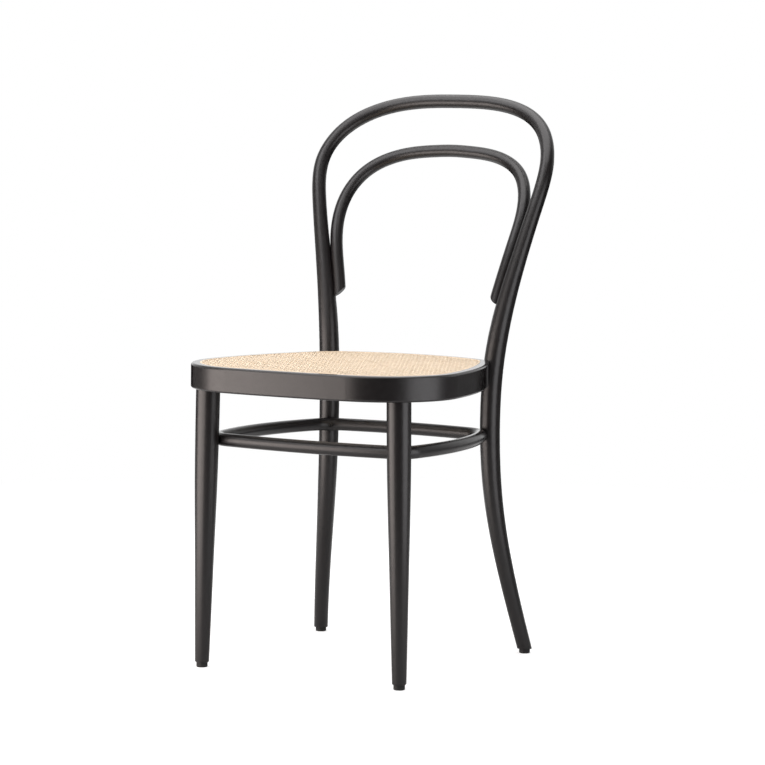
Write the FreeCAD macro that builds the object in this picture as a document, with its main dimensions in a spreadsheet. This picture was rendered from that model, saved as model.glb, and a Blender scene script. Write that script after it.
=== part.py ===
import FreeCAD, Part
import math
import os
import Sketcher
from FreeCAD import Vector

# Bentwood side chair with a caned seat. It stands on z = 0, its front faces -Y and its two sides
# mirror each other about x = 0. Left and right are as seen from the front. Lengths are millimetres.

SIZES = {
    # Seat ring: its outline is eight tangent arcs about four corner centres.
    "seat_top": 447.7,
    "seat_thickness": 36.8,
    "seat_ring_width": 40.0,
    "seat_front_corner_x": 90.7,
    "seat_front_corner_y": 136.9,
    "seat_rear_corner_x": 89.0,
    "seat_rear_corner_y": 54.8,
    "seat_front_radius": 1325.0,
    "seat_side_radius": 581.0,
    "seat_back_radius": 325.0,
    "seat_front_corner_radius": 120.0,
    "seat_rear_corner_radius": 68.8,
    "seat_edge_rounding": 3.5,
    "seat_inner_rounding": 2.5,
    # Cane webbing held in a groove by a spline.
    "rim_width": 12.9,
    "groove_width": 4.5,
    "groove_depth": 8.0,
    "cane_thickness": 1.2,
    "cane_fold": 0.8,
    "cane_pitch": 30.0,
    "cane_opening_radius": 10.8,
    "cane_border": 3.0,
    "spline_clearance": 0.05,
    "spline_proud": 0.4,
    "spline_rounding": 1.0,
    # Front legs: turned, tapered, each with a round tenon in the seat ring.
    "leg_inset": 23.0,
    "leg_angle": 45.3,
    "front_splay": 6.9,
    "leg_foot_radius": 10.4,
    "leg_top_radius": 17.6,
    "leg_straight": 205.0,
    "leg_foot_chamfer": 1.5,
    "tenon_radius": 10.5,
    "tenon_length": 24.0,
    # Joint of the uprights with the seat ring.
    "upright_angle": 48.9,
    "upright_notch": 3.7,
    # Inner arch of the back.
    "arch_radius": 9.65,
    "arch_seat": 0.8,
    "arch_end_height": 529.0,
    "arch_end_angle": 168.0,
    "arch_end_seat": 3.2,
    "arch_end_roller": 45.0,
    "arch_end_lean": 21.0,
    "arch_joint_height": 580.0,
    "arch_joint_angle": 162.0,
    "arch_crown_rise": 1.0,
    "arch_crown_back": 0.9,
    # Leg ring: a bent round rod inside the four legs, hollowed where it meets them.
    "ring_height": 335.6,
    "ring_rod_radius": 9.6,
    "ring_front_radius": 908.0,
    "ring_side_radius": 412.0,
    "ring_back_radius": 601.0,
    "ring_front_corner_radius": 32.0,
    "ring_rear_corner_radius": 42.0,
    "ring_front_angle": 60.8,
    "ring_rear_angle": 55.2,
    "ring_notch": 3.0,
    # Foot glides, each held by a nail.
    "glide_height": 7.0,
    "glide_radius": 8.3,
    "glide_rounding": 1.5,
    "nail_radius": 1.3,
    "nail_length": 22.0,
    "nail_head_radius": 3.2,
    "nail_head_height": 1.0,
    "nail_sink": 2.0,
    # Slotted countersunk wood screws.
    "screw_radius": 2.2,
    "screw_head_radius": 4.0,
    "screw_head_height": 2.6,
    "screw_tip": 5.0,
    "screw_slot_width": 1.0,
    "screw_slot_depth": 1.1,
    "screw_sink": 1.6,
    "ring_screw_length": 36.0,
    "lock_screw_length": 26.0,
    "arch_screw_length": 30.0,
    "arch_screw_low_rise": 20.0,
    "arch_screw_high_rise": 57.0,
    "plug_depth": 5.0,
    # Bolts through the uprights and the seat ring.
    "bolt_radius": 4.0,
    "bolt_head_radius": 8.0,
    "bolt_head_height": 4.0,
    "bolt_head_sink": 3.5,
    "bolt_head_clearance": 0.3,
    "bolt_end": 3.0,
    "washer_radius": 9.0,
    "washer_thickness": 1.6,
    "nut_corner_radius": 7.5,
    "nut_height": 6.5,
    "spot_face_radius": 10.0,
    "spot_face_depth": 2.6,
}

# Back loop: one bent rod, from foot to foot. Each station of its right half has its height, how far
# it lies out and back from the joint with the seat ring, and the rod's radius there.
LOOP_STATIONS = {
    "foot": (0.0, 38.4, 49.2, 10.8),
    "shin": (107.0, 20.7, 23.0, 12.0),
    "knee": (223.5, 4.4, 3.5, 13.8),
    "thigh": (351.0, -2.2, -2.6, 15.1),
    "joint": (430.0, 0.0, 0.0, 15.2),
    "hip": (481.0, 5.0, 5.0, 14.9),
    "waist": (597.0, 27.2, 23.8, 12.0),
    "flank": (683.0, 46.9, 43.1, 10.8),
    "shoulder": (739.6, 52.6, 62.7, 10.6),
    "bend": (772.0, 41.9, 81.8, 10.6),
    "brow": (802.6, 12.8, 106.4, 10.6),
    "temple": (826.0, -49.9, 128.7, 10.6),
}
CROWN = {"crown_height": 832.1, "crown_back": 135.0, "crown_radius": 10.6}

# Inner arch above its joint: height, half spacing and set-back of each station of its right half.
ARCH_STATIONS = {
    "arch_waist": (622.5, 153.8, 153.2),
    "arch_flank": (657.5, 157.4, 168.6),
    "arch_shoulder": (692.4, 152.1, 188.9),
    "arch_bend": (724.8, 130.9, 212.4),
    "arch_brow": (747.1, 85.9, 231.1),
    "arch_temple": (754.9, 27.7, 238.2),
}

ROD_SECTIONS = 33
SIDES = {"right": 1, "left": -1}

size = dict(SIZES)
for name, (height, out, back, radius) in LOOP_STATIONS.items():
    size.update({name + "_height": height, name + "_out": out, name + "_back": back, name + "_radius": radius})
size.update(CROWN)
for name, (height, out, back) in ARCH_STATIONS.items():
    size.update({name + "_height": height, name + "_x": out, name + "_y": back})

doc = FreeCAD.newDocument("bentwood_chair")
sheet = doc.addObject("Spreadsheet::Sheet", "Sizes")


def write_sheet():
    for row, (name, value) in enumerate(size.items(), start=1):
        sheet.set(f"A{row}", name)
        sheet.set(f"B{row}", str(value))
        sheet.setAlias(f"B{row}", name)
    doc.recompute()


# Placing and mirroring

def polar(angle, distance=1.0):
    turn = math.radians(angle)
    return Vector(math.cos(turn), math.sin(turn), 0) * distance


def mirrored(point, side):
    return Vector(point.x * side, point.y, point.z)


def angle_of(vector):
    return math.degrees(math.atan2(vector.y, vector.x))


def facing(point, direction):
    # local +Z turned to the direction
    return FreeCAD.Placement(point, FreeCAD.Rotation(Vector(0, 0, 1), direction))


# Outlines of tangent arcs

def corner(prefix, end):
    ahead = -1 if end == "front" else 1
    return Vector(size[f"{prefix}_{end}_corner_x"], ahead * size[f"{prefix}_{end}_corner_y"], 0)


def side_centre(prefix):
    # centre of the arc that runs over both corner arcs of one side
    front, rear = corner(prefix, "front"), corner(prefix, "rear")
    reach_front = size[prefix + "_side_radius"] - size[prefix + "_front_corner_radius"]
    reach_rear = size[prefix + "_side_radius"] - size[prefix + "_rear_corner_radius"]
    span = rear - front
    along = (reach_front ** 2 - reach_rear ** 2 + span.Length ** 2) / (2 * span.Length)
    across = math.sqrt(reach_front ** 2 - along ** 2)
    step = span / span.Length
    return front + step * along + Vector(-step.y, step.x, 0) * across


def end_centre(prefix, end):
    # centre, on the middle line, of the arc that runs over the two corner arcs of the front or back
    near = corner(prefix, end)
    arc = "front" if end == "front" else "back"
    reach = size[f"{prefix}_{arc}_radius"] - size[f"{prefix}_{end}_corner_radius"]
    inward = 1 if end == "front" else -1
    return Vector(0, near.y + inward * math.sqrt(reach ** 2 - near.x ** 2), 0)


def outline_arcs(prefix, inset):
    # counter-clockwise from the right side: centre, radius, start angle, end angle
    front, rear = corner(prefix, "front"), corner(prefix, "rear")
    side, ahead, behind = side_centre(prefix), end_centre(prefix, "front"), end_centre(prefix, "rear")
    low, high = angle_of(front - side), angle_of(rear - side)
    back, nose = angle_of(rear - behind), angle_of(front - ahead)

    def radius(arc):
        return size[f"{prefix}_{arc}_radius"] - inset

    return [
        (side, radius("side"), low, high),
        (rear, radius("rear_corner"), high, back),
        (behind, radius("back"), back, 180 - back),
        (mirrored(rear, -1), radius("rear_corner"), 180 - back, 180 - high),
        (mirrored(side, -1), radius("side"), 180 - high, 180 - low),
        (mirrored(front, -1), radius("front_corner"), 180 - low, 180 - nose),
        (ahead, radius("front"), 180 - nose, 360 + nose),
        (front, radius("front_corner"), 360 + nose, 360 + low),
    ]


ARC_NAMES = ["side", "rear_corner", "back", "rear_corner", "side", "front_corner", "front", "front_corner"]


# Sketches

def sketch_on(body, name, role, lift=None):
    plane = next(p for p in body.Origin.OriginFeatures if p.Role == role)
    sketch = body.newObject("Sketcher::SketchObject", name)
    sketch.AttachmentSupport = [(plane, "")]
    sketch.MapMode = "FlatFace"
    if lift:
        sketch.setExpression("AttachmentOffset.Base.z", lift)
    return sketch


def bind(sketch, constraint, label, expression):
    index = sketch.addConstraint(constraint)
    sketch.renameConstraint(index, label)
    sketch.setExpression("Constraints." + label, expression)


def pin(sketch, axis, item, point, expression):
    # distance of a point from the sketch's origin along one axis, as a positive length
    at = getattr(sketch.getPoint(item, point), axis.lower())
    ends = (-1, 1, item, point) if at > 0 else (item, point, -1, 1)
    constraint = Sketcher.Constraint("Distance" + axis, *ends, abs(at))
    bind(sketch, constraint, f"at_{axis.lower()}_{item}_{point}", expression)


def add_outline(sketch, prefix, inset_name, inset):
    # inset_name is the inset as an expression of the sheet, inset its value
    first = len(sketch.Geometry)
    arcs = outline_arcs(prefix, inset)
    for centre, radius, start, end in arcs:
        circle = Part.Circle(centre, Vector(0, 0, 1), radius)
        sketch.addGeometry(Part.ArcOfCircle(circle, math.radians(start), math.radians(end)), False)
    count = len(arcs)
    for step in range(count):
        item, after = first + step, first + (step + 1) % count
        sketch.addConstraint(Sketcher.Constraint("Tangent", item, 2, after, 1))
    for step, arc in enumerate(ARC_NAMES):
        item = first + step
        radius = Sketcher.Constraint("Radius", item, arcs[step][1])
        bind(sketch, radius, f"radius_{item}", f"Sizes.{prefix}_{arc}_radius - ({inset_name})")
        if arc.endswith("corner"):
            pin(sketch, "X", item, 3, f"Sizes.{prefix}_{arc}_x")
            pin(sketch, "Y", item, 3, f"Sizes.{prefix}_{arc}_y")


def outline_sketch(body, name, prefix, insets, lift=None):
    sketch = sketch_on(body, name, "XY_Plane", lift)
    for inset_name, inset in insets:
        add_outline(sketch, prefix, inset_name, inset)
    return sketch


def pad(body, sketch, name, length, reversed_way=False):
    feature = body.newObject("PartDesign::Pad", name)
    feature.Profile = sketch
    feature.setExpression("Length", length)
    feature.Reversed = reversed_way
    return feature


def pocket(body, sketch, name, length):
    feature = body.newObject("PartDesign::Pocket", name)
    feature.Profile = sketch
    feature.setExpression("Length", length)
    return feature


def level_edges(shape, height):
    # names of the edges that lie level at one height
    names = []
    for number, edge in enumerate(shape.Edges, start=1):
        box = edge.BoundBox
        if abs(box.ZMin - height) < 1e-4 and abs(box.ZMax - height) < 1e-4:
            names.append((number, edge))
    return names


def fillet(body, base, name, edges, radius):
    feature = body.newObject("PartDesign::Fillet", name)
    feature.Base = (base, edges)
    feature.setExpression("Radius", radius)
    return feature


# Primitives, bound to the sheet

def primitive(kind, name, placement, **sizes):
    piece = doc.addObject("Part::" + kind, name)
    for prop, expression in sizes.items():
        piece.setExpression(prop, expression)
    piece.Placement = placement
    return piece


def fused(name, pieces):
    fusion = doc.addObject("Part::MultiFuse", name)
    fusion.Shapes = pieces
    return fusion


def group(name, pieces):
    compound = doc.addObject("Part::Compound", name)
    compound.Links = pieces
    return compound


def cut(name, base, tools):
    # one cut after another, the last of which has the name
    for number, tool in enumerate(tools, start=1):
        result = doc.addObject("Part::Cut", name if number == len(tools) else f"{name}_cut_{number}")
        result.Base, result.Tool = base, tool
        base = result
    return base


def along(placement, distance):
    # the placement moved along its own +Z
    return placement.multiply(FreeCAD.Placement(Vector(0, 0, distance), FreeCAD.Rotation()))


# Rods of changing radius

def spread(points):
    # curve parameters in step with the length along the points
    reached = [0.0]
    for start, end in zip(points, points[1:]):
        reached.append(reached[-1] + (end - start).Length)
    return [value / reached[-1] for value in reached]


def both_halves(points):
    return points + [mirrored(point, -1) for point in reversed(points[:-1])]


def rod_curve(points):
    line = Part.BSplineCurve()
    line.interpolate(Points=points, Parameters=spread(points))
    return line


def rod_girth(points, radii):
    # a curve whose x is the rod's radius at the same parameter of its line
    places = spread(points)
    curve = Part.BSplineCurve()
    points = [Vector(radius, place, 0) for radius, place in zip(radii, places)]
    curve.interpolate(Points=points, Parameters=places)
    return curve


def rod(points, radii):
    # the skin runs through circles square to the line; its end caps are flat
    line, girth = rod_curve(points), rod_girth(points, radii)
    places = [step / (ROD_SECTIONS - 1) for step in range(ROD_SECTIONS)]
    weights = [1.0, math.sqrt(0.5)] * 4 + [1.0]
    threads = []
    for number, weight in enumerate(weights):
        poles = []
        for place in places:
            ahead = line.tangent(place)[0]
            across = (Vector(0, 1, 0) - ahead * ahead.y).normalize()
            spoke = polar(45 * number, girth.value(place).x / weight)
            poles.append(line.value(place) + across * spoke.x + ahead.cross(across) * spoke.y)
        thread = Part.BSplineCurve()
        thread.interpolate(Points=poles, Parameters=places)
        threads.append(thread)
    skin = Part.BSplineSurface()
    skin.buildFromPolesMultsKnots(
        [thread.getPoles() for thread in threads], [3, 2, 2, 2, 3], threads[0].getMultiplicities(),
        [0, 1, 2, 3, 4], threads[0].getKnots(), False, False, 2, 3,
        [[weight] * threads[0].NbPoles for weight in weights],
    )
    side = skin.toShape()
    caps = [Part.Face(Part.Wire(skin.vIso(place).toShape())) for place in (0, 1)]
    shell = Part.Shell([side, *caps])
    shell.sewShape()
    solid = Part.Solid(shell)
    if solid.Volume < 0:
        solid.reverse()
    return solid


def at_height(line, height):
    # point and parameter of the right half of a rod's line at one height below its widest bend
    low, high = 0.0, 0.4
    for _ in range(50):
        middle = (low + high) / 2
        if line.value(middle).z < height:
            low = middle
        else:
            high = middle
    return line.value(low), low


# Frame of the chair, worked out from the sizes

seat_under = size["seat_top"] - size["seat_thickness"]
seat_middle = size["seat_top"] - size["seat_thickness"] / 2

upright_reach = size["seat_rear_corner_radius"] + size["joint_radius"] - size["upright_notch"]
upright_joint = corner("seat", "rear") + polar(size["upright_angle"], upright_reach)

loop_points = []
for name in LOOP_STATIONS:
    out, back, height = size[name + "_out"], size[name + "_back"], size[name + "_height"]
    loop_points.append(upright_joint + Vector(out, back, height))
loop_points.append(Vector(0, upright_joint.y + size["crown_back"], size["crown_height"]))
loop_points = both_halves(loop_points)
loop_radii = [size[name + "_radius"] for name in LOOP_STATIONS]
loop_radii = loop_radii + [size["crown_radius"]] + loop_radii[::-1]
loop_line = rod_curve(loop_points)
loop_girth = rod_girth(loop_points, loop_radii)


def loop_at(height):
    point, place = at_height(loop_line, height)
    return point, loop_girth.value(place).x


def leg_at(height):
    # axis and radius of the right front leg
    share = (seat_under - height) / seat_under
    point = leg_top + Vector(size["front_splay"] * share, 0, height - seat_under)
    slope = (size["leg_top_radius"] - size["leg_foot_radius"]) / (seat_under + size["leg_straight"]) * 2
    arc_height = seat_under - size["leg_straight"]
    rise = max(height - size["leg_straight"], 0)
    bent = slope * rise * (1 - rise / (2 * arc_height))
    straight = slope * min(height, size["leg_straight"])
    return point, size["leg_foot_radius"] + straight + bent


leg_reach = size["seat_front_corner_radius"] - size["leg_inset"]
leg_top = corner("seat", "front") + polar(-size["leg_angle"], leg_reach) + Vector(0, 0, seat_under)


def ring_corner(end, leg, leg_radius):
    # the corner centre whose arc presses the rod into the leg by the notch
    turn = -size["ring_front_angle"] if end == "front" else size["ring_rear_angle"]
    reach = size[f"ring_{end}_corner_radius"] + size["ring_rod_radius"] + leg_radius - size["ring_notch"]
    centre = leg - polar(turn, reach)
    size[f"ring_{end}_corner_x"] = round(centre.x, 4)
    size[f"ring_{end}_corner_y"] = round(abs(centre.y), 4)
    return turn


ring_turns = {
    "front": ring_corner("front", *leg_at(size["ring_height"])),
    "rear": ring_corner("rear", *loop_at(size["ring_height"])),
}
write_sheet()


# Seat ring, cane and spline

def seat_insets(*names):
    values = {
        "outer": ("0", 0),
        "rim": ("Sizes.rim_width", size["rim_width"]),
        "fold": (
            "Sizes.rim_width + Sizes.groove_width - Sizes.cane_fold",
            size["rim_width"] + size["groove_width"] - size["cane_fold"],
        ),
        "groove": ("Sizes.rim_width + Sizes.groove_width", size["rim_width"] + size["groove_width"]),
        "inner": ("Sizes.seat_ring_width", size["seat_ring_width"]),
        "spline_out": ("Sizes.rim_width + Sizes.spline_clearance", size["rim_width"] + size["spline_clearance"]),
        "spline_in": (
            "Sizes.rim_width + Sizes.groove_width - Sizes.cane_fold - Sizes.spline_clearance",
            size["rim_width"] + size["groove_width"] - size["cane_fold"] - size["spline_clearance"],
        ),
    }
    return [values[name] for name in names]


def inside(point, prefix, inset):
    # whether the point, seen from above, lies inside the outline drawn in by the inset
    for centre, radius, start, end in outline_arcs(prefix, inset):
        arm = Vector(point.x - centre.x, point.y - centre.y, 0)
        if (angle_of(arm) - start) % 360 <= end - start and arm.Length >= radius:
            return False
    return True


def middle_of(edge):
    return edge.valueAt((edge.FirstParameter + edge.LastParameter) / 2)


def make_seat_ring_blank():
    body = doc.addObject("PartDesign::Body", "seat_ring_blank")
    plan = outline_sketch(body, "ring_plan", "seat", seat_insets("outer", "inner"))
    ring = pad(body, plan, "ring", "Sizes.seat_thickness")
    rebate = outline_sketch(body, "rebate_plan", "seat", seat_insets("rim"), "Sizes.seat_thickness")
    pocket(body, rebate, "rebate", "Sizes.cane_thickness")
    channel = outline_sketch(body, "groove_plan", "seat", seat_insets("rim", "groove"), "Sizes.seat_thickness")
    last = pocket(body, channel, "groove", "Sizes.groove_depth")
    doc.recompute()
    middle_inset = size["rim_width"] / 2
    levels = level_edges(ring.Shape, 0) + level_edges(ring.Shape, size["seat_thickness"])
    if len(levels) != 4 * len(ARC_NAMES):
        raise RuntimeError("the seat ring should have sixteen level edges on each face")
    edges = level_edges(last.Shape, 0) + level_edges(last.Shape, size["seat_thickness"])
    outer = [f"Edge{number}" for number, edge in edges if not inside(middle_of(edge), "seat", middle_inset)]
    rounded = fillet(body, last, "outer_rounding", outer, "Sizes.seat_edge_rounding")
    doc.recompute()
    seat = size["seat_thickness"] - size["cane_thickness"]
    edges = level_edges(rounded.Shape, 0) + level_edges(rounded.Shape, seat)
    inner_inset = (size["rim_width"] + size["groove_width"] + size["seat_ring_width"]) / 2
    inner = [f"Edge{number}" for number, edge in edges if inside(middle_of(edge), "seat", inner_inset)]
    fillet(body, rounded, "inner_rounding", inner, "Sizes.seat_inner_rounding")
    body.Placement.Base.z = seat_under
    return body


def make_cane_blank():
    body = doc.addObject("PartDesign::Body", "cane_blank")
    pad(body, outline_sketch(body, "sheet_plan", "seat", seat_insets("fold")), "sheet", "Sizes.cane_thickness")
    fold = outline_sketch(body, "fold_plan", "seat", seat_insets("fold", "groove"))
    pad(body, fold, "fold", "Sizes.groove_depth - Sizes.cane_thickness", reversed_way=True)
    body.Placement.Base.z = size["seat_top"] - size["cane_thickness"]
    return body


def spaced(low, high):
    # places one pitch apart, as many as the stretch takes, about its middle
    gaps = math.floor((high - low) / size["cane_pitch"])
    return [(low + high) / 2 + (number - gaps / 2) * size["cane_pitch"] for number in range(gaps + 1)]


def make_cane_openings():
    # a plain grid of round openings, clear of the wooden ring, stands for the open weave
    inset = size["seat_ring_width"] + size["cane_border"] + size["cane_opening_radius"]
    front = end_centre("seat", "front").y - size["seat_front_radius"] + inset
    back = end_centre("seat", "rear").y + size["seat_back_radius"] - inset
    reach = side_centre("seat").x + size["seat_side_radius"] - inset
    openings = []
    for y in spaced(front, back):
        for x in spaced(-reach, reach):
            foot = Vector(x, y, size["seat_top"] - 2 * size["cane_thickness"])
            if inside(foot, "seat", inset):
                place = FreeCAD.Placement(foot, FreeCAD.Rotation())
                openings.append(primitive("Cylinder", f"cane_opening_{len(openings) + 1}", place,
                                          Radius="Sizes.cane_opening_radius", Height="3 * Sizes.cane_thickness"))
    return group("cane_openings", openings)


def make_cane_spline():
    body = doc.addObject("PartDesign::Body", "cane_spline")
    plan = outline_sketch(body, "spline_plan", "seat", seat_insets("spline_out", "spline_in"))
    strip = pad(body, plan, "strip", "Sizes.groove_depth + Sizes.spline_proud")
    doc.recompute()
    top = level_edges(strip.Shape, size["groove_depth"] + size["spline_proud"])
    fillet(body, strip, "crown", [f"Edge{number}" for number, edge in top], "Sizes.spline_rounding")
    body.Placement.Base.z = size["seat_top"] - size["groove_depth"]
    return body


# Front legs

def make_leg_blank(side_name, side):
    body = doc.addObject("PartDesign::Body", f"front_leg_{side_name}_blank")
    profile = sketch_on(body, "profile", "XZ_Plane")
    foot = mirrored(leg_at(0)[0], side)
    lean = mirrored(leg_top, side) - foot
    scale = lean.Length / seat_under
    chamfer, foot_radius, top_radius = size["leg_foot_chamfer"], size["leg_foot_radius"], size["leg_top_radius"]
    knee = size["leg_straight"]
    slope = (top_radius - foot_radius) / (seat_under + knee) * 2
    knee_radius = foot_radius + slope * knee
    start, shoulder = size["glide_height"], seat_under
    corners = [
        Vector(0, start),
        Vector(foot_radius - chamfer, start),
        Vector(foot_radius, start + chamfer),
        Vector(knee_radius, knee),
        Vector(top_radius, shoulder),
        Vector(size["tenon_radius"], shoulder),
        Vector(size["tenon_radius"], shoulder + size["tenon_length"]),
        Vector(0, shoulder + size["tenon_length"]),
    ]
    half = (shoulder - knee) / 2
    bow = Vector((knee_radius + top_radius) / 2 + slope * half / 4, knee + half)
    for number, (near, far) in enumerate(zip(corners, corners[1:] + corners[:1])):
        if number == 3:
            profile.addGeometry(Part.Arc(near, bow, far), False)
        else:
            profile.addGeometry(Part.LineSegment(near, far), False)
    swell, last = 3, len(corners) - 1
    ends = {number: (1, 2) for number in range(len(corners))}
    if abs(profile.getPoint(swell, 1).y - knee) > 1:
        ends[swell] = (2, 1)
    for number in range(len(corners)):
        after = (number + 1) % len(corners)
        kind = "Tangent" if number == swell - 1 else "Coincident"
        profile.addConstraint(Sketcher.Constraint(kind, number, ends[number][1], after, ends[after][0]))
    for number in (0, 4, 6):
        profile.addConstraint(Sketcher.Constraint("Horizontal", number))
    for number in (5, last):
        profile.addConstraint(Sketcher.Constraint("Vertical", number))
    profile.addConstraint(Sketcher.Constraint("Horizontal", swell, 3, swell, ends[swell][1]))
    profile.addConstraint(Sketcher.Constraint("PointOnObject", 0, 1, -2))
    pin(profile, "Y", 0, 1, "Sizes.glide_height")
    pin(profile, "X", 0, 2, "Sizes.leg_foot_radius - Sizes.leg_foot_chamfer")
    pin(profile, "X", 1, 2, "Sizes.leg_foot_radius")
    pin(profile, "Y", 1, 2, "Sizes.glide_height + Sizes.leg_foot_chamfer")
    pin(profile, "Y", 2, 2, "Sizes.leg_straight")
    pin(profile, "X", 4, 1, "Sizes.leg_top_radius")
    pin(profile, "Y", 4, 1, f"(Sizes.seat_top - Sizes.seat_thickness) * {scale:.8f}")
    pin(profile, "X", 5, 1, "Sizes.tenon_radius")
    pin(profile, "Y", 5, 2, f"(Sizes.seat_top - Sizes.seat_thickness) * {scale:.8f} + Sizes.tenon_length")
    turned = body.newObject("PartDesign::Revolution", "turned")
    turned.Profile = profile
    turned.ReferenceAxis = (profile, ["V_Axis"])
    turned.Angle = 360
    body.Placement = facing(foot, lean)
    return body


# Leg ring

def make_leg_ring_blank():
    body = doc.addObject("PartDesign::Body", "leg_ring_blank")
    path = outline_sketch(body, "ring_path", "ring", [("0", 0)])
    section = body.newObject("Sketcher::SketchObject", "ring_section")
    section.AttachmentSupport = [(path, "Edge1")]
    section.MapMode = "NormalToEdge"
    section.addGeometry(Part.Circle(Vector(), Vector(0, 0, 1), size["ring_rod_radius"]), False)
    section.addConstraint(Sketcher.Constraint("Coincident", 0, 3, -1, 1))
    radius = Sketcher.Constraint("Radius", 0, size["ring_rod_radius"])
    bind(section, radius, "rod_radius", "Sizes.ring_rod_radius")
    bent = body.newObject("PartDesign::AdditivePipe", "bent_rod")
    bent.Profile = section
    bent.Spine = path
    body.Placement.Base.z = size["ring_height"]
    return body


# Back loop and inner arch

def make_loop_blank():
    blank = doc.addObject("Part::Feature", "back_loop_blank")
    blank.Shape = rod(loop_points, loop_radii)
    return blank


def arch_joint(height, angle, seat):
    # a point of the arch's line that presses its rod into the back loop's by the seat
    point, radius = loop_at(height)
    return point + polar(angle, radius + size["arch_radius"] - seat)


def arch_end():
    return arch_joint(size["arch_end_height"], size["arch_end_angle"], size["arch_end_seat"])


def make_arch_blank():
    points = [
        arch_end(),
        arch_joint(size["arch_joint_height"], size["arch_joint_angle"], size["arch_seat"]),
    ]
    for name in ARCH_STATIONS:
        points.append(Vector(size[name + "_x"], size[name + "_y"], size[name + "_height"]))
    crown = Vector(0, size["arch_temple_y"], size["arch_temple_height"])
    crown += Vector(0, size["arch_crown_back"], size["arch_crown_rise"])
    points = both_halves(points + [crown])
    blank = doc.addObject("Part::Feature", "inner_arch_blank")
    blank.Shape = rod(points, [size["arch_radius"]] * len(points))
    return blank


def make_end_tool(side_name, side):
    # everything under the rounded end of one arm, which is lowest against the back loop
    outward = polar(size["arch_end_angle"], -1)
    middle = arch_end() + outward * (size["arch_radius"] + size["arch_end_lean"])
    rise = math.sqrt(size["arch_end_roller"] ** 2 - size["arch_end_lean"] ** 2)
    centre = mirrored(middle, side) + Vector(0, 0, rise)
    across = mirrored(outward, side).cross(Vector(0, 0, 1))
    level = along(facing(centre, across), -4 * size["arch_radius"])
    roller = primitive("Cylinder", f"end_roller_{side_name}", level, Radius="Sizes.arch_end_roller",
                       Height="8 * Sizes.arch_radius")
    under = along(facing(centre, Vector(0, 0, 1)), -1.5 * size["arch_end_roller"])
    block = primitive("Cylinder", f"end_block_{side_name}", under, Radius="1.5 * Sizes.arch_end_roller",
                      Height="1.5 * Sizes.arch_end_roller")
    return cut(f"end_tool_{side_name}", block, [roller])


# Fasteners

def wood_screw(name, head, inward, length):
    # the screw, and the hole that it is driven into; head is the middle of its slotted face
    face = facing(head, inward * -1)
    shank_length = f"Sizes.{length} - Sizes.screw_tip - Sizes.screw_head_height"
    tip = primitive("Cone", name + "_tip", along(face, -size[length]), Radius1="Sizes.screw_radius / 8",
                    Radius2="Sizes.screw_radius", Height="Sizes.screw_tip")
    shank = primitive("Cylinder", name + "_shank", along(face, size["screw_tip"] - size[length]),
                      Radius="Sizes.screw_radius", Height=shank_length)
    cap = primitive("Cone", name + "_head", along(face, -size["screw_head_height"]), Radius1="Sizes.screw_radius",
                    Radius2="Sizes.screw_head_radius", Height="Sizes.screw_head_height")
    body = fused(name + "_body", [tip, shank, cap])
    corner_place = FreeCAD.Placement(
        Vector(-1.5 * size["screw_head_radius"], -size["screw_slot_width"] / 2, -size["screw_slot_depth"]),
        FreeCAD.Rotation(),
    )
    slot = primitive("Box", name + "_slot", face.multiply(corner_place), Length="3 * Sizes.screw_head_radius",
                     Width="Sizes.screw_slot_width", Height="2 * Sizes.screw_slot_depth")
    mouth = primitive("Cylinder", name + "_mouth", face, Radius="Sizes.screw_head_radius",
                      Height="2 * Sizes.plug_depth")
    return cut(name, body, [slot]), [body, mouth]


def carriage_bolt(name, side):
    # domed head outside the upright, washer and nut in a spot face inside the seat ring
    axis = mirrored(polar(size["upright_angle"]), side)
    centre = mirrored(corner("seat", "rear"), side) + Vector(0, 0, seat_middle)
    outside = size["seat_rear_corner_radius"] + 2 * size["joint_radius"] - size["upright_notch"]
    head_seat = facing(centre + axis * (outside - size["bolt_head_sink"]), axis)
    inside_face = size["seat_rear_corner_radius"] - size["seat_ring_width"] + size["spot_face_depth"]
    washer_seat = facing(centre + axis * inside_face, axis)
    stack = size["washer_thickness"] + size["nut_height"] + size["bolt_end"]
    shank = primitive(
        "Cylinder", name + "_shank", along(washer_seat, -stack), Radius="Sizes.bolt_radius",
        Height="2 * Sizes.joint_radius - Sizes.upright_notch - Sizes.bolt_head_sink + Sizes.seat_ring_width"
               " - Sizes.spot_face_depth + Sizes.washer_thickness + Sizes.nut_height + Sizes.bolt_end",
    )
    dome_radius = (size["bolt_head_radius"] ** 2 + size["bolt_head_height"] ** 2) / (2 * size["bolt_head_height"])
    dome_size = "(Sizes.bolt_head_radius^2 + Sizes.bolt_head_height^2) / (2 * Sizes.bolt_head_height)"
    dome = primitive("Sphere", name + "_dome", along(head_seat, size["bolt_head_height"] - dome_radius),
                     Radius=dome_size, Angle1=f"asin(1 - Sizes.bolt_head_height / ({dome_size}))")
    bolt = fused(name, [shank, dome])
    sink = primitive("Cylinder", name + "_sink", head_seat, Height="2 * Sizes.bolt_head_height",
                     Radius="Sizes.bolt_head_radius + Sizes.bolt_head_clearance")
    spot = primitive("Cylinder", name + "_spot_face", along(washer_seat, -3 * size["spot_face_depth"]),
                     Radius="Sizes.spot_face_radius", Height="3 * Sizes.spot_face_depth")
    disc = primitive("Cylinder", name + "_washer_disc", along(washer_seat, -size["washer_thickness"]),
                     Radius="Sizes.washer_radius", Height="Sizes.washer_thickness")
    nut_place = along(washer_seat, -size["washer_thickness"] - size["nut_height"])
    hexagon = primitive("Prism", name + "_hexagon", nut_place, Circumradius="Sizes.nut_corner_radius",
                        Height="Sizes.nut_height")
    washer = cut(name + "_washer", disc, [shank])
    nut = cut(name + "_nut", hexagon, [shank])
    return bolt, washer, nut, [shank, sink], [shank, spot]


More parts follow.
